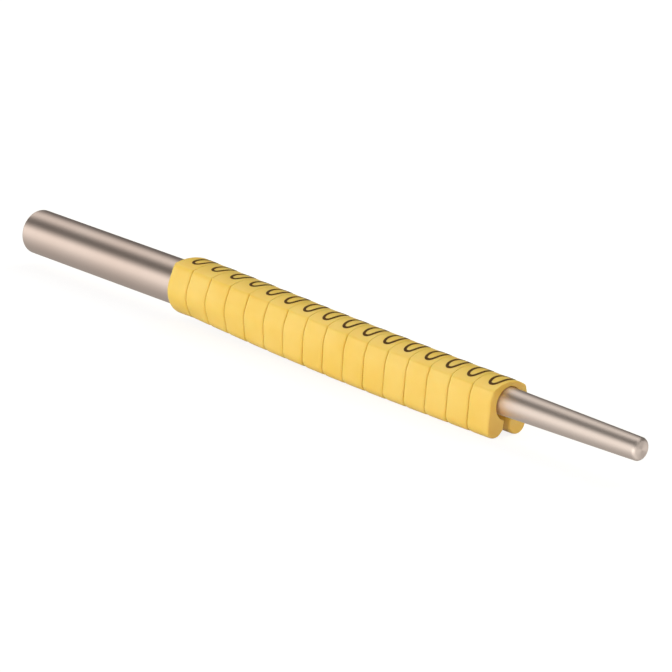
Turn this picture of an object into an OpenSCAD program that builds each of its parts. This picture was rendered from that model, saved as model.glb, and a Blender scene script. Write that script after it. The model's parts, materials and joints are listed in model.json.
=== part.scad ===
// Row of clip-on cable markers threaded on a tapered applicator pin.
// The pin lies along X with its tip towards +X, and the markers' feet stand on Z = 0.

/* [Pin] */
// Length of the pin from its thick end to its tip
pin_len = 90.95; // [84:0.05:120]
// Diameter of the thick shank
shank_d = 5; // [4.2:0.05:6]
// Length of the straight shank
shank_len = 24.65; // [16:0.05:25]
// Length of the steeper taper after the shank
taper_len = 26.7; // [16:0.1:34]
// Diameter where the steeper taper turns into the slim one
neck_d = 3.8; // [3.2:0.05:4]
// Diameter at the tip
tip_d = 2.4; // [1.6:0.05:3]
// Radius of the rounded rim at the thick end
shank_round = 0.4; // [0.1:0.05:1]
// Radius of the rounded rim at the tip
tip_round = 0.4; // [0.1:0.05:0.7]

/* [Row of markers] */
// How many markers are on the pin
marker_count = 16; // [2:1:18]
// Width of one marker along the pin
marker_w = 2.94; // [2:0.02:3.4]
// Gap between neighbouring markers
marker_gap = 0.06; // [0.04:0.01:0.3]
// Distance from the pin's thick end to the first marker
row_start = 25.3; // [12:0.05:27]
// Gap between the pin and the bore where a marker rides on it
ride_gap = 0.05; // [0.02:0.01:0.1]

/* [Marker section] */
// Bore of a relaxed marker
bore_d = 3.5; // [3.2:0.05:4]
// Wall above the bore, under the printed top
top_wall = 0.56; // [0.4:0.01:0.8]
// Wall beside the bore of a relaxed marker
side_wall = 1; // [0.8:0.05:1.2]
// Radius of the crown across the top of a relaxed marker
crown_r = 4; // [3.6:0.1:8]
// Radius of the rounded shoulders
shoulder_r = 0.7; // [0.5:0.05:1]
// How far the shoulders stand in from the sides of a relaxed marker
shoulder_inset = 0.25; // [0.1:0.05:0.5]
// Diameter of the rounded foot that each leg ends in
foot_d = 2.3; // [2:0.05:2.4]
// Distance from the pin's axis to a relaxed foot's centre
foot_reach = 2.96; // [2.8:0.02:3.2]
// Angle of a relaxed foot from straight down
foot_ang = 32.5; // [30:0.5:38]
// Gap between the feet of a relaxed marker
lip_gap = 0.9; // [0.7:0.05:1.4]

/* [Marker spread on the shank] */
// Radius of the crown across the top, drawn flat
spread_crown_r = 7.2; // [5:0.1:12]
// Wall beside the bore, drawn thin
spread_wall = 0.55; // [0.45:0.05:0.7]
// Distance from the pin's axis to a foot's centre, drawn in
spread_reach = 1.8; // [1.5:0.05:1.85]
// Angle of a foot from straight down
spread_ang = 40; // [36:1:46]
// Gap between the feet
spread_lip_gap = 2; // [1.6:0.1:2.6]
// How late the crown flattens and the feet draw in as a marker is spread, 1 for evenly
spread_ease = 1.8; // [1:0.1:2.5]

/* [Hidden] */
$fn = 96;
marker_pitch = marker_w + marker_gap;
// How deep each flat is sunk into the round that it runs into
blend = 0.004;
axis_z = foot_reach * cos(foot_ang) + foot_d / 2;
marker_yellow = [0.94, 0.76, 0.30];
nickel = [0.80, 0.76, 0.72];

function marker_name(i) = str("marker_", i < 10 ? "0" : "", i);

// Where a value lies between two others
function between(a, b, share) = a + (b - a) * share;

// Radius of the pin at a distance from its thick end
taper_end = shank_len + taper_len;
function pin_r(t) =
    t <= shank_len ? shank_d / 2
    : t <= taper_end ? between(shank_d, neck_d, (t - shank_len) / taper_len) / 2
    : between(neck_d, tip_d, (t - taper_end) / (pin_len - taper_end)) / 2;

// Places a shape that is drawn from the pin's thick end along X
module on_axis(t) {
    translate([t - pin_len / 2, 0, axis_z]) children();
}

// Half of the pin's outline: radius across, distance from the thick end up
module pin_profile() {
    tip_r = tip_d / 2;
    polygon([
        [0, 0],
        [shank_d / 2 - shank_round, 0],
        [shank_d / 2, shank_round],
        [shank_d / 2, shank_len],
        [neck_d / 2, taper_end],
        [tip_r, pin_len - tip_round],
        [tip_r - tip_round, pin_len],
        [0, pin_len]
    ]);
    translate([shank_d / 2 - shank_round, shank_round]) circle(shank_round);
    translate([tip_r - tip_round, pin_len - tip_round]) circle(tip_round);
}

module pin() {
    color(nickel)
        on_axis(0)
            rotate([0, 90, 0])
                rotate_extrude()
                    pin_profile();
}

// Outward direction of the line that runs along two circles, to the left (1) or right (-1) of c1 to c2
function flank_dir(c1, r1, c2, r2, turn) =
    let (d = c2 - c1, a = atan2(d[1], d[0]) + turn * acos(min(1, (r1 - r2) / norm(d))))
    [cos(a), sin(a)];

function mirrored(points) = [for (k = [len(points) - 1:-1:0]) [-points[k][0], points[k][1]]];

// The same disc on the near and the far leg
module both_legs(centre, r) {
    for (side = [-1, 1]) {
        translate([side * centre[0], centre[1]]) circle(r);
    }
}

// Section of a marker that rides on a pin of this radius, drawn about the pin's axis.
// Where the pin is thicker than the bore, the marker is spread: its bore follows the pin,
// its legs bend round it and its feet move apart.
module marker_section(ride_r) {
    seat_z = ride_r + ride_gap;
    rest_r = bore_d / 2;
    hole_r = max(rest_r, seat_z);
    hole_c = [0, seat_z - hole_r];
    spread = hole_r > rest_r ? (hole_r - rest_r) / (shank_d / 2 + ride_gap - rest_r) : 0;
    ring_r = hole_r + between(side_wall, spread_wall, spread);
    foot_r = foot_d / 2;
    late = pow(spread, spread_ease);
    reach = between(foot_reach, spread_reach, late);
    swing = between(foot_ang, spread_ang, spread);
    foot_c = reach * [sin(swing), -cos(swing)];
    lip_y = between(lip_gap, spread_lip_gap, spread) / 2;

    top_z = seat_z + top_wall;
    top_r = between(crown_r, spread_crown_r, late);
    crown_c = [0, top_z - top_r];
    shoulder_y = rest_r + side_wall - shoulder_inset - shoulder_r;
    inner_crown = top_r - shoulder_r + blend;
    shoulder_c = [shoulder_y, crown_c[1] + sqrt(pow(inner_crown, 2) - pow(shoulder_y, 2))];
    crown_edge = crown_c + (shoulder_c - crown_c) * top_r / inner_crown;

    upper = flank_dir(hole_c, ring_r, shoulder_c, shoulder_r, -1);
    lower = flank_dir(hole_c, ring_r, foot_c, foot_r, 1);
    outer_flank = [
        foot_c + (foot_r - blend) * lower,
        hole_c + (ring_r - blend) * lower,
        hole_c + (ring_r - blend) * upper,
        shoulder_c + (shoulder_r - blend) * upper,
        [crown_edge[0], top_z]
    ];
    // The ring shows up to the middle of the straight flank above it
    ring_top = (outer_flank[2][1] + outer_flank[3][1]) / 2;

    difference() {
        union() {
            intersection() {
                union() {
                    intersection() {
                        translate(hole_c) circle(ring_r);
                        translate([-2 * ring_r, ring_top - 4 * ring_r]) square(4 * ring_r);
                    }
                    polygon(concat(outer_flank, mirrored(outer_flank)));
                }
                translate(crown_c) circle(top_r);
            }
            both_legs(foot_c, foot_r);
            both_legs(shoulder_c, shoulder_r);
        }
        translate(hole_c) circle(hole_r);
        translate([-lip_y, hole_c[1] - 2 * ring_r]) square([2 * lip_y, 2 * ring_r]);
    }
}

module marker(i) {
    t = row_start + (i - 1) * marker_pitch;
    color(marker_yellow)
        on_axis(t)
            rotate([90, 0, 90])
                linear_extrude(marker_w)
                    marker_section(pin_r(t));
}

pin();
for (i = [1:marker_count]) {
    marker(i);
}
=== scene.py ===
import bpy
import bmesh
import json
import math
import random
from mathutils import Matrix, Vector

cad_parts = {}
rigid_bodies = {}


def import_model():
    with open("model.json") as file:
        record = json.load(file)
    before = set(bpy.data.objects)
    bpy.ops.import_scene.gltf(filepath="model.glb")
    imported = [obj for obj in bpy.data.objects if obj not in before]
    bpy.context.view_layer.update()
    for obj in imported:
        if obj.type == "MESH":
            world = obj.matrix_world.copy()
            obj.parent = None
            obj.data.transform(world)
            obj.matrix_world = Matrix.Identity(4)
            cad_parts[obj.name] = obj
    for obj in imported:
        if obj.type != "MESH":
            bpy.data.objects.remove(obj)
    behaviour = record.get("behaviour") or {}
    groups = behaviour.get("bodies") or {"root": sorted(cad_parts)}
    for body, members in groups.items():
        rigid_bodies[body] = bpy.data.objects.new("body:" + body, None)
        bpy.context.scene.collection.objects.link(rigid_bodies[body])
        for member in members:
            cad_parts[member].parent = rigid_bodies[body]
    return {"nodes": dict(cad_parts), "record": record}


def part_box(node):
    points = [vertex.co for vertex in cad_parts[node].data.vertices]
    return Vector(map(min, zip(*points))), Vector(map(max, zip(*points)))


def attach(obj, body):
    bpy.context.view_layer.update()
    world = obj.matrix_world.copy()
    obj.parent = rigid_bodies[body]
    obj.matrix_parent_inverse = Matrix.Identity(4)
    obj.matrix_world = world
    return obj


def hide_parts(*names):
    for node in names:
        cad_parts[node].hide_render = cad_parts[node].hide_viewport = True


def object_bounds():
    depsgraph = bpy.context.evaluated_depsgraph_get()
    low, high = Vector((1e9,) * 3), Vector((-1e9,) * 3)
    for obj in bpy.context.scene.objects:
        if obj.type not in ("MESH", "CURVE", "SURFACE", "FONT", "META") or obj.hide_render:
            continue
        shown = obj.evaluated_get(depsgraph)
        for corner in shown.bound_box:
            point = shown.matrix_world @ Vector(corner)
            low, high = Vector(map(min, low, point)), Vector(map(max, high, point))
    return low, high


mm = 0.001
for thing in list(bpy.data.objects):  # an empty scene to start from
    bpy.data.objects.remove(thing)
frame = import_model()
cadLow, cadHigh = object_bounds()  # the CAD box, before anything is dressed
bodies = frame["record"]["behaviour"]["bodies"]
print("frame loaded:", len(frame["nodes"]), "nodes")


# small helpers for node trees and meshes

def addNode(tree, kind, at=(0, 0), **settings):
    node = tree.nodes.new(kind)
    node.location = at
    for name, value in settings.items():
        setattr(node, name, value)
    return node


def plug(tree, source, target):
    tree.links.new(source, target)


def doSum(tree, operation, *values):  # one Math node, each value a socket or a number
    node = addNode(tree, "ShaderNodeMath", operation=operation)
    for place, value in enumerate(values):
        if isinstance(value, (int, float)):
            node.inputs[place].default_value = value
        else:
            plug(tree, value, node.inputs[place])
    return node.outputs[0]


def newObject(name, mesh):
    piece = bpy.data.objects.new(name, mesh)
    bpy.context.scene.collection.objects.link(piece)
    return piece


def bakeTree(name, source, tree, inputs):  # runs a node tree on source and keeps the result as a plain mesh
    modifier = source.modifiers.new("build", "NODES")
    modifier.node_group = tree
    for item in tree.interface.items_tree:
        if item.in_out == "INPUT" and item.name in inputs:
            modifier[item.identifier] = inputs[item.name]
    bpy.context.view_layer.update()
    built = source.evaluated_get(bpy.context.evaluated_depsgraph_get())
    mesh = bpy.data.meshes.new_from_object(built)
    source.modifiers.remove(modifier)
    bpy.data.objects.remove(source)
    mesh.name = name
    return newObject(name, mesh)


# shared surface effect: fine uneven mottling that can be drawn out along an axis

def makeMottle():
    group = bpy.data.node_groups.new("unevenSkin", "ShaderNodeTree")
    face = group.interface
    face.new_socket("Scale", in_out="INPUT", socket_type="NodeSocketFloat").default_value = 400
    face.new_socket("Stretch", in_out="INPUT", socket_type="NodeSocketVector").default_value = (1, 1, 1)
    face.new_socket("Detail", in_out="INPUT", socket_type="NodeSocketFloat").default_value = 3
    face.new_socket("Low", in_out="INPUT", socket_type="NodeSocketFloat").default_value = 0.35
    face.new_socket("High", in_out="INPUT", socket_type="NodeSocketFloat").default_value = 0.65
    face.new_socket("Mask", in_out="OUTPUT", socket_type="NodeSocketFloat")
    start = addNode(group, "NodeGroupInput", (-800, 0))
    end = addNode(group, "NodeGroupOutput", (400, 0))
    place = addNode(group, "ShaderNodeTexCoord", (-800, 260))
    stretch = addNode(group, "ShaderNodeVectorMath", (-560, 120), operation="MULTIPLY")
    noise = addNode(group, "ShaderNodeTexNoise", (-320, 60))
    spread = addNode(group, "ShaderNodeMapRange", (60, 0))
    plug(group, place.outputs["Object"], stretch.inputs[0])
    plug(group, start.outputs["Stretch"], stretch.inputs[1])
    plug(group, stretch.outputs[0], noise.inputs["Vector"])
    plug(group, start.outputs["Scale"], noise.inputs["Scale"])
    plug(group, start.outputs["Detail"], noise.inputs["Detail"])
    plug(group, noise.outputs[0], spread.inputs["Value"])
    plug(group, start.outputs["Low"], spread.inputs["From Min"])
    plug(group, start.outputs["High"], spread.inputs["From Max"])
    plug(group, spread.outputs["Result"], end.inputs["Mask"])
    return group


unevenSkin = makeMottle()
softMask = {"Low": 0.3, "High": 0.7}  # slow change from one value to the other


def addMottle(tree, at, **values):
    node = addNode(tree, "ShaderNodeGroup", at, node_tree=unevenSkin)
    for name, value in values.items():
        node.inputs[name].default_value = value
    return node.outputs["Mask"]


def addBlend(tree, at, mask, first, second):  # colour between two, by a mask
    mix = addNode(tree, "ShaderNodeMix", at, data_type="RGBA")
    mix.inputs["A"].default_value = (*first, 1)
    mix.inputs["B"].default_value = (*second, 1)
    plug(tree, mask, mix.inputs["Factor"])
    return mix.outputs["Result"]


def addRange(tree, at, mask, low, high):  # number between two, by a mask
    span = addNode(tree, "ShaderNodeMapRange", at)
    span.inputs["To Min"].default_value = low
    span.inputs["To Max"].default_value = high
    plug(tree, mask, span.inputs["Value"])
    return span.outputs["Result"]


def addBump(tree, shader, height, strength, depth):
    bump = addNode(tree, "ShaderNodeBump", (-300, -240))
    bump.inputs["Strength"].default_value = strength
    bump.inputs["Distance"].default_value = depth
    plug(tree, height, bump.inputs["Height"])
    plug(tree, bump.outputs["Normal"], shader.inputs["Normal"])


def startMaterial(name):
    material = bpy.data.materials.new(name)
    material.use_nodes = True
    return material, material.node_tree, material.node_tree.nodes["Principled BSDF"]


# yellow soft plastic of the markers

yellowSkin = {
    "pale": (0.880, 0.625, 0.140), "deep": (0.850, 0.570, 0.085),
    "cloudScale": 260, "cloudDetail": 2.0, "grainScale": 5200, "grainDetail": 2.5,
    "roughLow": 0.32, "roughHigh": 0.42, "ior": 1.5, "sheen": 0.75, "bump": 0.05, "bumpDepth": 0.00002,
    "glow": 0.30, "glowReach": (1.0, 0.60, 0.25), "glowScale": 0.0009,
}


def makeYellow():
    material, tree, shader = startMaterial("markerYellow")
    cloud = addMottle(tree, (-900, 300), Scale=yellowSkin["cloudScale"], Detail=yellowSkin["cloudDetail"],
                      **softMask)
    grain = addMottle(tree, (-900, 0), Scale=yellowSkin["grainScale"], Detail=yellowSkin["grainDetail"],
                      **softMask)
    plug(tree, addBlend(tree, (-500, 300), cloud, yellowSkin["pale"], yellowSkin["deep"]),
         shader.inputs["Base Color"])
    plug(tree, addRange(tree, (-500, 60), grain, yellowSkin["roughLow"], yellowSkin["roughHigh"]),
         shader.inputs["Roughness"])
    addBump(tree, shader, grain, yellowSkin["bump"], yellowSkin["bumpDepth"])
    shader.inputs["IOR"].default_value = yellowSkin["ior"]
    shader.inputs["Specular IOR Level"].default_value = yellowSkin["sheen"]
    shader.inputs["Subsurface Weight"].default_value = yellowSkin["glow"]
    shader.inputs["Subsurface Radius"].default_value = yellowSkin["glowReach"]
    shader.inputs["Subsurface Scale"].default_value = yellowSkin["glowScale"]
    return material


# dark ink of the printed zeros

inkSkin = {
    "dark": (0.070, 0.034, 0.008), "thin": (0.130, 0.070, 0.018),
    "patchScale": 2600, "patchDetail": 3.0, "patchLow": 0.42, "patchHigh": 0.75,
    "roughLow": 0.6, "roughHigh": 0.75, "sheen": 0.15,
}


def makeInk():
    material, tree, shader = startMaterial("printInk")
    patch = addMottle(tree, (-900, 200), Scale=inkSkin["patchScale"], Detail=inkSkin["patchDetail"],
                      Low=inkSkin["patchLow"], High=inkSkin["patchHigh"])
    plug(tree, addBlend(tree, (-500, 200), patch, inkSkin["dark"], inkSkin["thin"]),
         shader.inputs["Base Color"])
    plug(tree, addRange(tree, (-500, 0), patch, inkSkin["roughLow"], inkSkin["roughHigh"]),
         shader.inputs["Roughness"])
    shader.inputs["Specular IOR Level"].default_value = inkSkin["sheen"]
    return material


# nickel plate of the pin, with faint turning lines round it

nickelSkin = {
    "light": (0.930, 0.765, 0.660), "dull": (0.890, 0.715, 0.610),
    "ringScale": 900, "ringStretch": (6.0, 0.12, 0.12), "ringDetail": 2.0,
    "cloudScale": 90, "cloudDetail": 3.0,
    "roughLow": 0.32, "roughHigh": 0.35, "bump": 0.012, "bumpDepth": 0.00001,
    # painted highlight: the tip colour is a paler nickel blended in towards the tip, where more light
    # falls; tipRough adds roughness over the same span
    "tipPaintedLight": (0.990, 0.845, 0.740), "tipRough": 0.12, "tipLitRoughSpan": (-0.02, 0.035),
    "drawn": 0.75, "drawnTurn": 0.25,  # highlights run along the pin
}


def makeNickel():
    material, tree, shader = startMaterial("pinNickel")
    rings = addMottle(tree, (-900, 0), Scale=nickelSkin["ringScale"], Stretch=nickelSkin["ringStretch"],
                      Detail=nickelSkin["ringDetail"], **softMask)
    cloud = addMottle(tree, (-900, 300), Scale=nickelSkin["cloudScale"], Detail=nickelSkin["cloudDetail"],
                      **softMask)
    spot = addNode(tree, "ShaderNodeSeparateXYZ", (-900, -300))
    plug(tree, addNode(tree, "ShaderNodeTexCoord", (-1100, -300)).outputs["Object"], spot.inputs[0])
    tipLitRough = addNode(tree, "ShaderNodeMapRange", (-700, -300))  # painted highlight: the nickel paler towards the tip, where more light falls; also rougher there
    tipLitRough.inputs["From Min"].default_value = nickelSkin["tipLitRoughSpan"][0]
    tipLitRough.inputs["From Max"].default_value = nickelSkin["tipLitRoughSpan"][1]
    plug(tree, spot.outputs["X"], tipLitRough.inputs["Value"])
    # painted highlight: blends the nickel towards the paler tip colour along the pin
    tipPaintedMix = addNode(tree, "ShaderNodeMix", (-250, 300), data_type="RGBA")
    tipPaintedMix.inputs["B"].default_value = (*nickelSkin["tipPaintedLight"], 1)
    plug(tree, tipLitRough.outputs["Result"], tipPaintedMix.inputs["Factor"])
    plug(tree, addBlend(tree, (-500, 300), cloud, nickelSkin["light"], nickelSkin["dull"]),
         tipPaintedMix.inputs["A"])
    plug(tree, tipPaintedMix.outputs["Result"], shader.inputs["Base Color"])
    fine = addRange(tree, (-500, 60), rings, nickelSkin["roughLow"], nickelSkin["roughHigh"])
    plug(tree, doSum(tree, "MULTIPLY_ADD", tipLitRough.outputs["Result"], nickelSkin["tipRough"], fine),
         shader.inputs["Roughness"])
    addBump(tree, shader, rings, nickelSkin["bump"], nickelSkin["bumpDepth"])
    shader.inputs["Metallic"].default_value = 1
    shader.inputs["Anisotropic"].default_value = nickelSkin["drawn"]
    shader.inputs["Anisotropic Rotation"].default_value = nickelSkin["drawnTurn"]
    around = addNode(tree, "ShaderNodeTangent", (-300, -480), direction_type="RADIAL", axis="X")
    plug(tree, around.outputs["Tangent"], shader.inputs["Tangent"])
    return material


markerYellow, printInk, pinNickel = makeYellow(), makeInk(), makeNickel()
print("materials made")


# the pin, turned as one fine mesh; sizes in millimetres

pinForm = {
    "length": 90.95, "shankR": 2.5, "shankLength": 24.65, "taperLength": 26.7,
    "neckR": 1.9, "tipR": 1.2, "shankRound": 0.4, "tipRound": 0.4,
    "sides": 144, "roundSteps": 10, "faceSteps": 4, "spacing": 1.5,
}
pinLow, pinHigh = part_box("pin")
pinStart = pinLow.x  # thick end
axisZ = (pinLow.z + pinHigh.z) / 2


def pinRadius(t):  # t from the thick end
    taperEnd = pinForm["shankLength"] + pinForm["taperLength"]
    if t <= pinForm["shankLength"]:
        return pinForm["shankR"]
    if t <= taperEnd:
        share = (t - pinForm["shankLength"]) / pinForm["taperLength"]
        return pinForm["shankR"] + (pinForm["neckR"] - pinForm["shankR"]) * share
    share = (t - taperEnd) / (pinForm["length"] - taperEnd)
    return pinForm["neckR"] + (pinForm["tipR"] - pinForm["neckR"]) * share


def pinProfile():  # distance and radius from the thick end's face to the tip's face
    steps, faceSteps, points = pinForm["roundSteps"], pinForm["faceSteps"], []
    rim, tip = pinForm["shankRound"], pinForm["tipRound"]
    points += [(0, (pinForm["shankR"] - rim) * k / faceSteps) for k in range(1, faceSteps)]
    for k in range(steps + 1):
        turn = math.pi / 2 * k / steps
        points.append((rim * (1 - math.cos(turn)), pinForm["shankR"] - rim * (1 - math.sin(turn))))
    first, last = rim, pinForm["length"] - tip
    count = int((last - first) / pinForm["spacing"])
    points += [(t, pinRadius(t)) for t in (first + (last - first) * k / count for k in range(1, count))]
    for k in range(steps + 1):
        turn = math.pi / 2 * k / steps
        points.append((last + tip * math.sin(turn), pinForm["tipR"] - tip * (1 - math.cos(turn))))
    flat = pinForm["tipR"] - tip
    points += [(pinForm["length"], flat * k / faceSteps) for k in range(faceSteps - 1, 0, -1)]
    return points


def turnPin():
    build = bmesh.new()
    sides, rings = pinForm["sides"], []
    for t, radius in pinProfile():
        ring = []
        for k in range(sides):
            a = 2 * math.pi * k / sides
            ring.append(build.verts.new((pinStart + t * mm, radius * math.cos(a) * mm,
                                         axisZ + radius * math.sin(a) * mm)))
        rings.append(ring)
    for near, far in zip(rings, rings[1:]):
        for k in range(sides):
            build.faces.new((near[k], far[k], far[(k + 1) % sides], near[(k + 1) % sides]))
    for ring, t in ((rings[0], 0), (rings[-1], pinForm["length"])):
        hub = build.verts.new((pinStart + t * mm, 0, axisZ))
        for k in range(sides):
            build.faces.new((ring[k], ring[(k + 1) % sides], hub))
    bmesh.ops.recalc_face_normals(build, faces=build.faces)
    for face in build.faces:
        face.smooth = True
    mesh = bpy.data.meshes.new("turnedPin")
    build.to_mesh(mesh)
    build.free()
    mesh.materials.append(pinNickel)
    return newObject("turnedPin", mesh)


turnedPin = turnPin()
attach(turnedPin, "pin")
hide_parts("pin")
print("pin turned:", len(turnedPin.data.polygons), "faces")


# section of a marker: relaxed near the tip, spread by the thick end of the pin; sizes in millimetres

markerForm = {
    "width": 2.94, "pitch": 3.0, "rowStart": 25.3, "rideGap": 0.05,
    "boreR": 1.75, "topWall": 0.56, "sideWall": 1.0, "crownR": 4.0, "shoulderR": 0.7, "shoulderInset": 0.25,
    "footR": 1.15, "footReach": 2.96, "footAngle": 32.5, "lipGap": 0.9,
    "spreadCrownR": 7.2, "spreadWall": 0.55, "spreadReach": 1.8, "spreadAngle": 40, "spreadLipGap": 2.0,
    "spreadEase": 1.8,
    "edgeRound": 0.16, "edgeFullness": 9, "boreEdge": 0.3, "topEdge": 0.15, "topSlope": 0.8,
    "edgeSteps": 16, "capRing": 0.03, "outerPoints": 64, "innerPoints": 40, "lipSearch": 40,
    "weld": 0.0001, "sharpAngle": 38, "roll": 0.9, "seed": 5,
}


def between(a, b, share):
    return a + (b - a) * share


def flankDir(c1, r1, c2, r2, turn):  # outward direction of the line along two circles
    d = c2 - c1
    a = math.atan2(d.y, d.x) + turn * math.acos(min(1, (r1 - r2) / d.length))
    return Vector((math.cos(a), math.sin(a)))


def discExit(start, heading, centre, radius):  # how far a ray runs before it leaves a disc
    way = centre - start
    along = way.dot(heading)
    room = radius ** 2 - (way.length_squared - along ** 2)
    return along + math.sqrt(room) if room > 0 else 0


def polyExit(start, heading, points):  # how far a ray runs before it leaves a polygon
    reach = 0
    for p, q in zip(points, points[1:] + points[:1]):
        side, way = q - p, p - start
        across = heading.x * side.y - heading.y * side.x
        if abs(across) > 1e-9:
            far = (way.x * side.y - way.y * side.x) / across
            share = (way.x * heading.y - way.y * heading.x) / across
            if -1e-6 <= share <= 1 + 1e-6:
                reach = max(reach, far)
    return reach


def flipped(points):
    return [Vector((-p.x, p.y)) for p in reversed(points)]


def markerSection(rideR):  # closed loop about the pin's axis, the bore first
    form = markerForm
    seat = rideR + form["rideGap"]
    holeR = max(form["boreR"], seat)
    hole = Vector((0, seat - holeR))
    spread = max(0, (holeR - form["boreR"]) / (pinForm["shankR"] + form["rideGap"] - form["boreR"]))
    ringR = holeR + between(form["sideWall"], form["spreadWall"], spread)
    footR, shoulderR, late = form["footR"], form["shoulderR"], spread ** form["spreadEase"]
    crownR = between(form["crownR"], form["spreadCrownR"], late)
    reach = between(form["footReach"], form["spreadReach"], late)
    swing = math.radians(between(form["footAngle"], form["spreadAngle"], spread))
    foot = reach * Vector((math.sin(swing), -math.cos(swing)))
    lip = between(form["lipGap"], form["spreadLipGap"], spread) / 2
    top = seat + form["topWall"]
    crown = Vector((0, top - crownR))
    shoulderY = form["boreR"] + form["sideWall"] - form["shoulderInset"] - shoulderR
    shoulder = Vector((shoulderY, crown.y + math.sqrt((crownR - shoulderR) ** 2 - shoulderY ** 2)))
    crownEdge = crown + (shoulder - crown) * crownR / (crownR - shoulderR)
    upper = flankDir(hole, ringR, shoulder, shoulderR, -1)
    lower = flankDir(hole, ringR, foot, footR, 1)
    outer = [foot + footR * lower, hole + ringR * lower, hole + ringR * upper, shoulder + shoulderR * upper,
             Vector((crownEdge.x, top))]
    ringTop = (outer[2].y + outer[3].y) / 2  # the flank hides the ring from here up
    outer += flipped(outer)

    def outside(a):
        heading = Vector((math.sin(a), math.cos(a)))
        ring = ringR if hole.y + ringR * heading.y < ringTop else 0
        body = max(ring, polyExit(hole, heading, outer))
        body = min(body, discExit(hole, heading, crown, crownR))
        return hole + heading * max(body, discExit(hole, heading, foot, footR),
                                    discExit(hole, heading, shoulder, shoulderR))

    def within(a):
        return hole + holeR * Vector((math.sin(a), math.cos(a)))

    def halfLoop(edge, count):  # from the top down to the lip
        low, high = math.pi / 2, math.pi
        for _ in range(form["lipSearch"]):
            mid = (low + high) / 2
            low, high = (low, mid) if edge(mid).x < lip else (mid, high)
        return [edge(low * k / count) for k in range(count + 1)]

    right, bore = halfLoop(outside, form["outerPoints"]), halfLoop(within, form["innerPoints"])
    loop = flipped(right[1:]) + right + bore[::-1] + flipped(bore[1:])[::-1]
    return loop[::-1]  # anticlockwise in Y and Z, so that its face looks along +X


def markSections(name, nodes):  # a flat face for each marker, its other end and the way its edge draws in
    rolls = random.Random(markerForm["seed"])
    points, tips, inward, faces = [], [], [], []
    for node in nodes:
        t = markerForm["rowStart"] + (int(node[-2:]) - 1) * markerForm["pitch"]
        roll = Matrix.Rotation(math.radians(rolls.uniform(-1, 1) * markerForm["roll"]), 2)
        loop = [roll @ p for p in markerSection(pinRadius(t))]
        tip = [roll @ p for p in markerSection(pinRadius(t + markerForm["width"]))]
        count = len(loop)
        faces.append(list(range(len(points), len(points) + count)))
        for k, (p, q) in enumerate(zip(loop, tip)):
            run = (loop[(k + 1) % count] - p).normalized() + (p - loop[k - 1]).normalized()
            draw = run.normalized()
            if k <= 2 * markerForm["innerPoints"]:
                draw *= markerForm["boreEdge"]
            elif p.y > 0 and abs(draw.x) > markerForm["topSlope"]:  # crisper on the printed top
                draw *= markerForm["topEdge"]
            points.append((pinStart + t * mm, p.x * mm, axisZ + p.y * mm))
            tips.append((pinStart + t * mm, q.x * mm, axisZ + q.y * mm))
            inward.append((0, -draw.y, draw.x))
    mesh = bpy.data.meshes.new(name)
    mesh.from_pydata(points, [], faces)
    for label, values in (("outline", points), ("tipOutline", tips), ("inward", inward)):
        layer = mesh.attributes.new(label, "FLOAT_VECTOR", "POINT")
        layer.data.foreach_set("vector", [c for v in values for c in v])
    return newObject(name, mesh)


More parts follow.
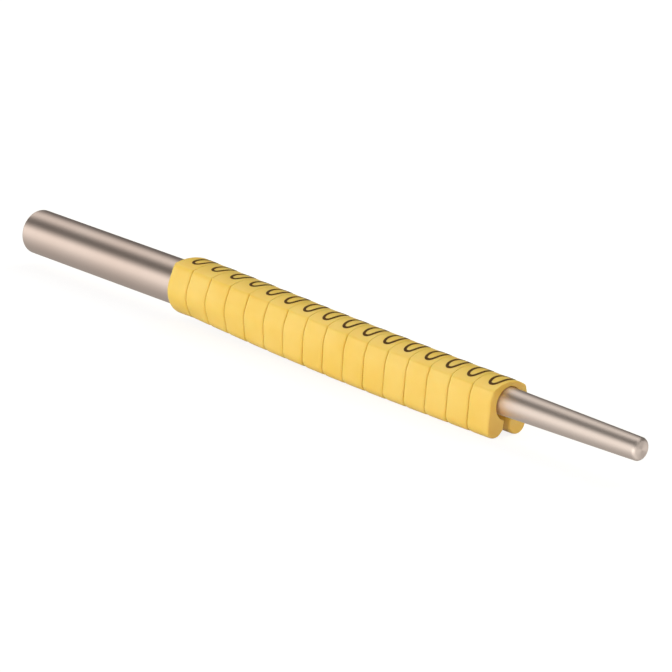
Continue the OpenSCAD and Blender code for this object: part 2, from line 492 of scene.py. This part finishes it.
def makeClipTree():  # pulls each flat section out to its width, with full rounded end edges
    tree = bpy.data.node_groups.new("pullClip", "GeometryNodeTree")
    face = tree.interface
    face.new_socket("Geometry", in_out="INPUT", socket_type="NodeSocketGeometry")
    for label in ("Width", "Edge Round", "Edge Fullness", "Cap Ring"):
        face.new_socket(label, in_out="INPUT", socket_type="NodeSocketFloat")
    face.new_socket("Steps", in_out="INPUT", socket_type="NodeSocketInt")
    face.new_socket("Skin", in_out="INPUT", socket_type="NodeSocketMaterial")
    face.new_socket("Geometry", in_out="OUTPUT", socket_type="NodeSocketGeometry")
    start, end = addNode(tree, "NodeGroupInput", (-1800, 0)), addNode(tree, "NodeGroupOutput", (1600, 0))
    given = start.outputs

    def named(label):
        node = addNode(tree, "GeometryNodeInputNamedAttribute", data_type="FLOAT_VECTOR")
        node.inputs["Name"].default_value = label
        return node.outputs["Attribute"]

    def settle(geometry, selection, share, inset):  # on the outline at a share of the width, drawn in
        drawn = addNode(tree, "ShaderNodeVectorMath", operation="SCALE")
        plug(tree, named("inward"), drawn.inputs[0])
        plug(tree, inset, drawn.inputs["Scale"])
        spot = addNode(tree, "ShaderNodeMix", data_type="VECTOR")
        plug(tree, named("outline"), spot.inputs["A"])
        plug(tree, named("tipOutline"), spot.inputs["B"])
        push = addNode(tree, "ShaderNodeCombineXYZ")
        if share is None:
            spot.inputs["Factor"].default_value = 0
        else:
            plug(tree, share, spot.inputs["Factor"])
            plug(tree, doSum(tree, "MULTIPLY", share, given["Width"]), push.inputs["X"])
        first = addNode(tree, "ShaderNodeVectorMath", operation="ADD")
        plug(tree, drawn.outputs[0], first.inputs[0])
        plug(tree, push.outputs[0], first.inputs[1])
        final = addNode(tree, "ShaderNodeVectorMath", operation="ADD")
        plug(tree, spot.outputs["Result"], final.inputs[0])
        plug(tree, first.outputs[0], final.inputs[1])
        move = addNode(tree, "GeometryNodeSetPosition")
        plug(tree, geometry, move.inputs["Geometry"])
        if selection is not None:
            plug(tree, selection, move.inputs["Selection"])
        plug(tree, final.outputs[0], move.inputs["Position"])
        return move.outputs["Geometry"]

    cap = settle(given["Geometry"], None, None, doSum(tree, "ADD", given["Edge Round"], given["Cap Ring"]))
    loopIn = addNode(tree, "GeometryNodeRepeatInput", (-600, 0))
    loopOut = addNode(tree, "GeometryNodeRepeatOutput", (600, 0))
    loopIn.pair_with_output(loopOut)
    plug(tree, doSum(tree, "ADD", given["Steps"], 2), loopIn.inputs["Iterations"])
    plug(tree, cap, loopIn.inputs["Geometry"])
    turn = loopIn.outputs["Iteration"]
    share = doSum(tree, "DIVIDE", doSum(tree, "MINIMUM", turn, given["Steps"]), given["Steps"])
    place = doSum(tree, "COSINE", doSum(tree, "MULTIPLY", share, math.pi))  # 1 to -1, closer at the ends
    full = doSum(tree, "POWER", doSum(tree, "ABSOLUTE", place), given["Edge Fullness"])
    fall = doSum(tree, "SUBTRACT", 1, full)
    depth = doSum(tree, "SUBTRACT", 1, doSum(tree, "SQRT", doSum(tree, "MAXIMUM", fall, 0)))
    closing = doSum(tree, "MULTIPLY", doSum(tree, "GREATER_THAN", turn, given["Steps"]), given["Cap Ring"])
    inset = doSum(tree, "ADD", doSum(tree, "MULTIPLY", depth, given["Edge Round"]), closing)
    along = doSum(tree, "MULTIPLY_ADD", place, -0.5, 0.5)
    pull = addNode(tree, "GeometryNodeExtrudeMesh", (-200, 0), mode="FACES")
    pull.inputs["Individual"].default_value = False
    pull.inputs["Offset Scale"].default_value = 0
    plug(tree, loopIn.outputs["Geometry"], pull.inputs["Mesh"])
    front = addNode(tree, "GeometryNodeInputMeshFaceNeighbors")
    plug(tree, doSum(tree, "GREATER_THAN", front.outputs["Vertex Count"], 4), pull.inputs["Selection"])
    plug(tree, settle(pull.outputs["Mesh"], pull.outputs["Top"], along, inset), loopOut.inputs["Geometry"])
    flip = addNode(tree, "GeometryNodeFlipFaces", (600, 300))
    plug(tree, cap, flip.inputs["Mesh"])
    join = addNode(tree, "GeometryNodeJoinGeometry", (800, 0))
    plug(tree, loopOut.outputs["Geometry"], join.inputs[0])
    plug(tree, flip.outputs["Mesh"], join.inputs[0])
    weld = addNode(tree, "GeometryNodeMergeByDistance", (1000, 0))
    weld.inputs["Distance"].default_value = markerForm["weld"] * mm
    plug(tree, join.outputs[0], weld.inputs["Geometry"])
    real = addNode(tree, "GeometryNodeRealizeInstances", (1200, 0))
    plug(tree, weld.outputs["Geometry"], real.inputs["Geometry"])
    paint = addNode(tree, "GeometryNodeSetMaterial", (1400, 0))
    plug(tree, real.outputs["Geometry"], paint.inputs["Geometry"])
    plug(tree, given["Skin"], paint.inputs["Material"])
    plug(tree, paint.outputs["Geometry"], end.inputs["Geometry"])
    return tree


clipTree = makeClipTree()


def makeMarkers(name, nodes):
    piece = bakeTree(name, markSections(name + "Sections", nodes), clipTree, {
        "Width": markerForm["width"] * mm, "Edge Round": markerForm["edgeRound"] * mm,
        "Edge Fullness": markerForm["edgeFullness"], "Steps": markerForm["edgeSteps"],
        "Cap Ring": markerForm["capRing"] * mm, "Skin": markerYellow,
    })
    for label in ("outline", "tipOutline", "inward"):
        piece.data.attributes.remove(piece.data.attributes[label])
    for polygon in piece.data.polygons:
        polygon.use_smooth = len(polygon.vertices) == 4
    piece.data.set_sharp_from_angle(angle=math.radians(markerForm["sharpAngle"]))
    print(name, "has", len(piece.data.polygons), "faces")
    return piece


pieces = {}
for name, body in (("markerRow", "row"), ("markerFront", "front_marker")):
    markers = makeMarkers(name, bodies[body])
    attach(markers, body)
    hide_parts(*bodies[body])
    pieces[body] = markers


# the zero printed across each marker's top; sizes in millimetres

zeroForm = {
    "along": 1.55, "across": 3.5, "stroke": 0.3, "square": 0.8, "inkHeight": 0.045, "sunk": 0.018,
    "shift": 0.28, "turn": 3, "points": 96, "rayAbove": 1, "rayLength": 20, "sharpAngle": 40,
    "drift": [0.60, 0.68, 0.66, 0.68, 0.33, 0.15, 0.05],  # printed further back on the first few markers
}


def markTops(name, nodes):  # one point above the middle of each marker's top
    mesh = bpy.data.meshes.new(name)
    points = []
    for node in nodes:
        k = int(node[-2:]) - 1
        x = markerForm["rowStart"] + k * markerForm["pitch"] + markerForm["width"] / 2 + zeroForm["shift"]
        drift = zeroForm["drift"][k] if k < len(zeroForm["drift"]) else 0
        points.append((pinStart + x * mm, drift * mm, cadHigh.z + zeroForm["rayAbove"] * mm))
    mesh.from_pydata(points, [], [])
    return newObject(name, mesh)


def makeZeroTree():  # draws a zero at each point and lays it on the markers under it
    tree = bpy.data.node_groups.new("printZero", "GeometryNodeTree")
    face = tree.interface
    face.new_socket("Geometry", in_out="INPUT", socket_type="NodeSocketGeometry")
    face.new_socket("Markers", in_out="INPUT", socket_type="NodeSocketObject")
    for label in ("Along", "Across", "Stroke", "Square", "Turn", "Ink Height", "Sunk"):
        face.new_socket(label, in_out="INPUT", socket_type="NodeSocketFloat")
    face.new_socket("Points", in_out="INPUT", socket_type="NodeSocketInt")
    face.new_socket("Ink", in_out="INPUT", socket_type="NodeSocketMaterial")
    face.new_socket("Geometry", in_out="OUTPUT", socket_type="NodeSocketGeometry")
    start, end = addNode(tree, "NodeGroupInput", (-1800, 0)), addNode(tree, "NodeGroupOutput", (1600, 0))
    given = start.outputs
    ring = addNode(tree, "GeometryNodeCurvePrimitiveCircle", (-1500, 300))
    ring.inputs["Radius"].default_value = 1
    plug(tree, given["Points"], ring.inputs["Resolution"])
    spot = addNode(tree, "ShaderNodeSeparateXYZ", (-1300, 100))
    plug(tree, addNode(tree, "GeometryNodeInputPosition", (-1500, 100)).outputs[0], spot.inputs[0])

    def bulged(value, size):  # a circle's coordinate made squarer and brought to size
        bent = doSum(tree, "POWER", doSum(tree, "ABSOLUTE", value), given["Square"])
        signed = doSum(tree, "MULTIPLY", bent, doSum(tree, "SIGN", value))
        half = doSum(tree, "DIVIDE", doSum(tree, "SUBTRACT", size, given["Stroke"]), 2)
        return doSum(tree, "MULTIPLY", signed, half)

    oval = addNode(tree, "ShaderNodeCombineXYZ", (-900, 100))
    plug(tree, bulged(spot.outputs["X"], given["Along"]), oval.inputs["X"])
    plug(tree, bulged(spot.outputs["Y"], given["Across"]), oval.inputs["Y"])
    shape = addNode(tree, "GeometryNodeSetPosition", (-700, 300))
    plug(tree, ring.outputs["Curve"], shape.inputs["Geometry"])
    plug(tree, oval.outputs[0], shape.inputs["Position"])
    level = addNode(tree, "GeometryNodeSetCurveNormal", (-500, 300), mode="Z_UP")
    plug(tree, shape.outputs["Geometry"], level.inputs["Curve"])
    nib = addNode(tree, "GeometryNodeCurvePrimitiveQuadrilateral", (-700, -100), mode="RECTANGLE")
    plug(tree, given["Stroke"], nib.inputs["Width"])
    plug(tree, given["Ink Height"], nib.inputs["Height"])
    stroke = addNode(tree, "GeometryNodeCurveToMesh", (-300, 200))
    plug(tree, level.outputs["Curve"], stroke.inputs["Curve"])
    plug(tree, nib.outputs["Curve"], stroke.inputs["Profile Curve"])
    local = addNode(tree, "ShaderNodeSeparateXYZ", (-300, 0))
    plug(tree, addNode(tree, "GeometryNodeInputPosition", (-500, 0)).outputs[0], local.inputs[0])
    keep = addNode(tree, "GeometryNodeStoreNamedAttribute", (-100, 200), data_type="FLOAT", domain="POINT")
    keep.inputs["Name"].default_value = "lift"
    plug(tree, stroke.outputs["Mesh"], keep.inputs["Geometry"])
    plug(tree, doSum(tree, "ADD", local.outputs["Z"],
                     doSum(tree, "SUBTRACT", doSum(tree, "DIVIDE", given["Ink Height"], 2), given["Sunk"])),
         keep.inputs["Value"])
    copies = addNode(tree, "GeometryNodeInstanceOnPoints", (100, 200))
    plug(tree, given["Geometry"], copies.inputs["Points"])
    plug(tree, keep.outputs["Geometry"], copies.inputs["Instance"])
    askew = addNode(tree, "ShaderNodeCombineXYZ", (-100, 0))
    plug(tree, given["Turn"], askew.inputs["Z"])
    plug(tree, askew.outputs[0], copies.inputs["Rotation"])
    real = addNode(tree, "GeometryNodeRealizeInstances", (300, 200))
    plug(tree, copies.outputs["Instances"], real.inputs["Geometry"])
    target = addNode(tree, "GeometryNodeObjectInfo", (300, -200), transform_space="RELATIVE")
    plug(tree, given["Markers"], target.inputs["Object"])
    above = addNode(tree, "ShaderNodeSeparateXYZ", (300, 0))
    plug(tree, addNode(tree, "GeometryNodeInputPosition", (100, 0)).outputs[0], above.inputs[0])
    flat = addNode(tree, "ShaderNodeCombineXYZ", (500, 0))  # every ray starts at one height
    plug(tree, above.outputs["X"], flat.inputs["X"])
    plug(tree, above.outputs["Y"], flat.inputs["Y"])
    flat.inputs["Z"].default_value = cadHigh.z + zeroForm["rayAbove"] * mm
    ray = addNode(tree, "GeometryNodeRaycast", (700, -100))
    ray.inputs["Ray Direction"].default_value = (0, 0, -1)
    ray.inputs["Ray Length"].default_value = zeroForm["rayLength"] * mm
    plug(tree, target.outputs["Geometry"], ray.inputs["Target Geometry"])
    plug(tree, flat.outputs[0], ray.inputs["Source Position"])
    lift = addNode(tree, "GeometryNodeInputNamedAttribute", (700, -400), data_type="FLOAT")
    lift.inputs["Name"].default_value = "lift"
    off = addNode(tree, "ShaderNodeVectorMath", (900, -200), operation="SCALE")
    plug(tree, ray.outputs["Hit Normal"], off.inputs[0])
    plug(tree, lift.outputs["Attribute"], off.inputs["Scale"])
    seat = addNode(tree, "ShaderNodeVectorMath", (1000, 0), operation="ADD")
    plug(tree, ray.outputs["Hit Position"], seat.inputs[0])
    plug(tree, off.outputs[0], seat.inputs[1])
    lay = addNode(tree, "GeometryNodeSetPosition", (1100, 200))
    plug(tree, real.outputs["Geometry"], lay.inputs["Geometry"])
    plug(tree, seat.outputs[0], lay.inputs["Position"])
    paint = addNode(tree, "GeometryNodeSetMaterial", (1400, 200))
    plug(tree, lay.outputs["Geometry"], paint.inputs["Geometry"])
    plug(tree, given["Ink"], paint.inputs["Material"])
    plug(tree, paint.outputs["Geometry"], end.inputs["Geometry"])
    return tree


zeroTree = makeZeroTree()
for name, body in (("zeroRow", "row"), ("zeroFront", "front_marker")):
    zeros = bakeTree(name, markTops(name + "Points", bodies[body]), zeroTree, {
        "Markers": pieces[body], "Along": zeroForm["along"] * mm, "Across": zeroForm["across"] * mm,
        "Stroke": zeroForm["stroke"] * mm, "Square": zeroForm["square"],
        "Turn": math.radians(zeroForm["turn"]), "Ink Height": zeroForm["inkHeight"] * mm,
        "Sunk": zeroForm["sunk"] * mm, "Points": zeroForm["points"], "Ink": printInk,
    })
    zeros.data.attributes.remove(zeros.data.attributes["lift"])
    zeros.data.set_sharp_from_angle(angle=math.radians(zeroForm["sharpAngle"]))
    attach(zeros, body)
    print(name, "has", len(zeros.data.polygons), "faces")


# white floor that keeps a soft shadow

stageLook = {"size": 1.6, "colour": 0.80, "shadowShare": 0.30, "white": 1.22}


def layFloor():
    half = stageLook["size"] / 2
    mesh = bpy.data.meshes.new("paleFloor")
    corners = [(-half, -half, 0), (half, -half, 0), (half, half, 0), (-half, half, 0)]
    mesh.from_pydata(corners, [], [(0, 1, 2, 3)])
    material = bpy.data.materials.new("paleFloor")
    material.use_nodes = True
    tree = material.node_tree
    tree.nodes.clear()
    lit = addNode(tree, "ShaderNodeBsdfDiffuse", (-400, 200))
    lit.inputs["Color"].default_value = (stageLook["colour"],) * 3 + (1,)
    white = addNode(tree, "ShaderNodeEmission", (-400, 0))
    white.inputs["Strength"].default_value = stageLook["white"]
    rays = addNode(tree, "ShaderNodeLightPath", (-900, 400))
    seen = doSum(tree, "MULTIPLY", rays.outputs["Is Camera Ray"], 1 - stageLook["shadowShare"])
    mix = addNode(tree, "ShaderNodeMixShader", (-100, 100))
    plug(tree, seen, mix.inputs[0])
    plug(tree, lit.outputs[0], mix.inputs[1])
    plug(tree, white.outputs[0], mix.inputs[2])
    plug(tree, mix.outputs[0], addNode(tree, "ShaderNodeOutputMaterial", (200, 100)).inputs["Surface"])
    mesh.materials.append(material)
    floor = newObject("paleFloor", mesh)
    floor.visible_glossy = False  # the studio's strips go on below, so that the pin shows them there too


layFloor()
print("floor laid")


# studio round the object: strips of light and dark that run along the pin, white where the camera looks

studioStrips = [  # degrees round the pin from the photographed side's horizon up and over, and brightness
    (-180, 0.30), (-110, 0.38), (-76, 0.41), (-52, 0.54), (-32, 0.72), (-12, 0.95), (10, 1.04),
    (22, 0.84), (32, 0.52), (46, 0.18), (62, 0.12), (76, 0.26), (88, 0.62), (100, 0.85),
    (114, 0.80), (126, 0.46), (142, 0.12), (156, 0.08), (180, 0.25),
]
studioSides = {
    "left": 1.0, "right": 0.85, "span": (-0.5, 0.7),  # brightness at both ends of X, and where it changes
    "floor": 1.2, "floorHeight": (0.05, -0.15), "floorSpan": (0.1, 0.6),  # pale floor that the tip faces
}


def fadeAlong(tree, at, value, span, levels, **settings):  # one level to another as a value crosses a span
    node = addNode(tree, "ShaderNodeMapRange", at, **settings)
    for label, number in zip(("From Min", "From Max", "To Min", "To Max"), (*span, *levels)):
        node.inputs[label].default_value = number
    plug(tree, value, node.inputs["Value"])
    return node.outputs["Result"]


def makeStudio():
    world = bpy.data.worlds.new("studio")
    bpy.context.scene.world = world
    world.use_nodes = True
    tree = world.node_tree
    tree.nodes.clear()
    way = addNode(tree, "ShaderNodeSeparateXYZ", (-1100, 0))
    plug(tree, addNode(tree, "ShaderNodeTexCoord", (-1300, 0)).outputs["Generated"], way.inputs[0])
    around = doSum(tree, "ARCTAN2", way.outputs["Z"], doSum(tree, "MULTIPLY", way.outputs["Y"], -1))
    share = doSum(tree, "MULTIPLY_ADD", around, 0.5 / math.pi, 0.5)
    ramp = addNode(tree, "ShaderNodeValToRGB", (-500, 100))
    stops = ramp.color_ramp.elements
    for place, (angle, level) in enumerate(studioStrips):
        at = (angle + 180) / 360
        stop = stops[place] if place < 2 else stops.new(at)
        stop.position = at
        stop.color = (level, level, level, 1)
    plug(tree, share, ramp.inputs["Fac"])
    sides = fadeAlong(tree, (-500, -200), way.outputs["X"], studioSides["span"],
                      (studioSides["left"], studioSides["right"]), interpolation_type="SMOOTHSTEP")
    low = fadeAlong(tree, (-500, -500), way.outputs["Z"], studioSides["floorHeight"],
                    (0, studioSides["floor"]))
    ahead = fadeAlong(tree, (-500, -800), way.outputs["X"], studioSides["floorSpan"], (0, 1),
                      interpolation_type="SMOOTHSTEP")
    lifted = doSum(tree, "MULTIPLY_ADD", low, ahead, sides)
    glow = addNode(tree, "ShaderNodeBackground", (-100, 100))
    plug(tree, ramp.outputs["Color"], glow.inputs["Color"])
    plug(tree, lifted, glow.inputs["Strength"])
    plain = addNode(tree, "ShaderNodeBackground", (-100, -100))
    plain.inputs["Color"].default_value = (1, 1, 1, 1)
    mix = addNode(tree, "ShaderNodeMixShader", (150, 0))
    plug(tree, addNode(tree, "ShaderNodeLightPath", (-300, 400)).outputs["Is Camera Ray"], mix.inputs[0])
    plug(tree, glow.outputs[0], mix.inputs[1])
    plug(tree, plain.outputs[0], mix.inputs[2])
    plug(tree, mix.outputs[0], addNode(tree, "ShaderNodeOutputWorld", (350, 0)).inputs["Surface"])


makeStudio()


# soft lamps: place and size in metres, power in watts

softLamps = {
    "softKey": {"place": (-0.25, -0.57, 0.15), "size": 0.35, "power": 2.35, "colour": (1.0, 1.0, 1.0)},
    "backFill": {"place": (0.05, 0.42, 0.42), "size": 0.45, "power": 2.0, "colour": (1.0, 0.92, 0.60)},
    "warmFill": {"place": (0.55, -0.20, 0.06), "size": 0.3, "power": 0.80, "colour": (1.0, 0.55, 0.07)},
}


def hangLamp(name, form):
    lamp = bpy.data.lights.new(name, "AREA")
    lamp.shape, lamp.size = "DISK", form["size"]
    lamp.energy, lamp.color = form["power"], form["colour"]
    holder = bpy.data.objects.new(name, lamp)
    bpy.context.scene.collection.objects.link(holder)
    holder.location = form["place"]
    holder.visible_glossy = False  # the strips make the pin's highlights
    holder.rotation_euler = Vector(form["place"]).to_track_quat("Z", "Y").to_euler()


for name, form in softLamps.items():
    hangLamp(name, form)
print("studio lit:", len(softLamps), "lamps")


# camera at the photograph's view: angles in degrees, lengths in millimetres

photoView = {
    "turn": 44.9, "rise": 15.5, "roll": 5.0, "distance": 402.15, "aimAt": 48.35, "raised": 0.307,
    "lens": 208.18, "sensor": 36, "nearest": 10, "farthest": 20000,
}


def placeCamera():
    turn, rise, roll = (math.radians(photoView[k]) for k in ("turn", "rise", "roll"))
    back = Vector((math.sin(turn) * math.cos(rise), -math.cos(turn) * math.cos(rise), math.sin(rise)))
    side = Vector((math.cos(turn), math.sin(turn), 0))
    over = back.cross(side)
    right = side * math.cos(roll) + over * math.sin(roll)
    up = over * math.cos(roll) - side * math.sin(roll)
    aim = Vector((pinStart + photoView["aimAt"] * mm, 0, axisZ))
    place = aim + back * photoView["distance"] * mm + up * photoView["raised"] * mm
    data = bpy.data.cameras.new("photoCamera")
    data.sensor_width, data.lens = photoView["sensor"], photoView["lens"]
    data.clip_start, data.clip_end = photoView["nearest"] * mm, photoView["farthest"] * mm
    camera = bpy.data.objects.new("photoCamera", data)
    bpy.context.scene.collection.objects.link(camera)
    camera.matrix_world = Matrix((right, up, back)).transposed().to_4x4()
    camera.location = place
    bpy.context.scene.camera = camera


placeCamera()
print("camera placed")
bpy.context.scene.view_settings.view_transform = "Standard"
bpy.context.view_layer.update()
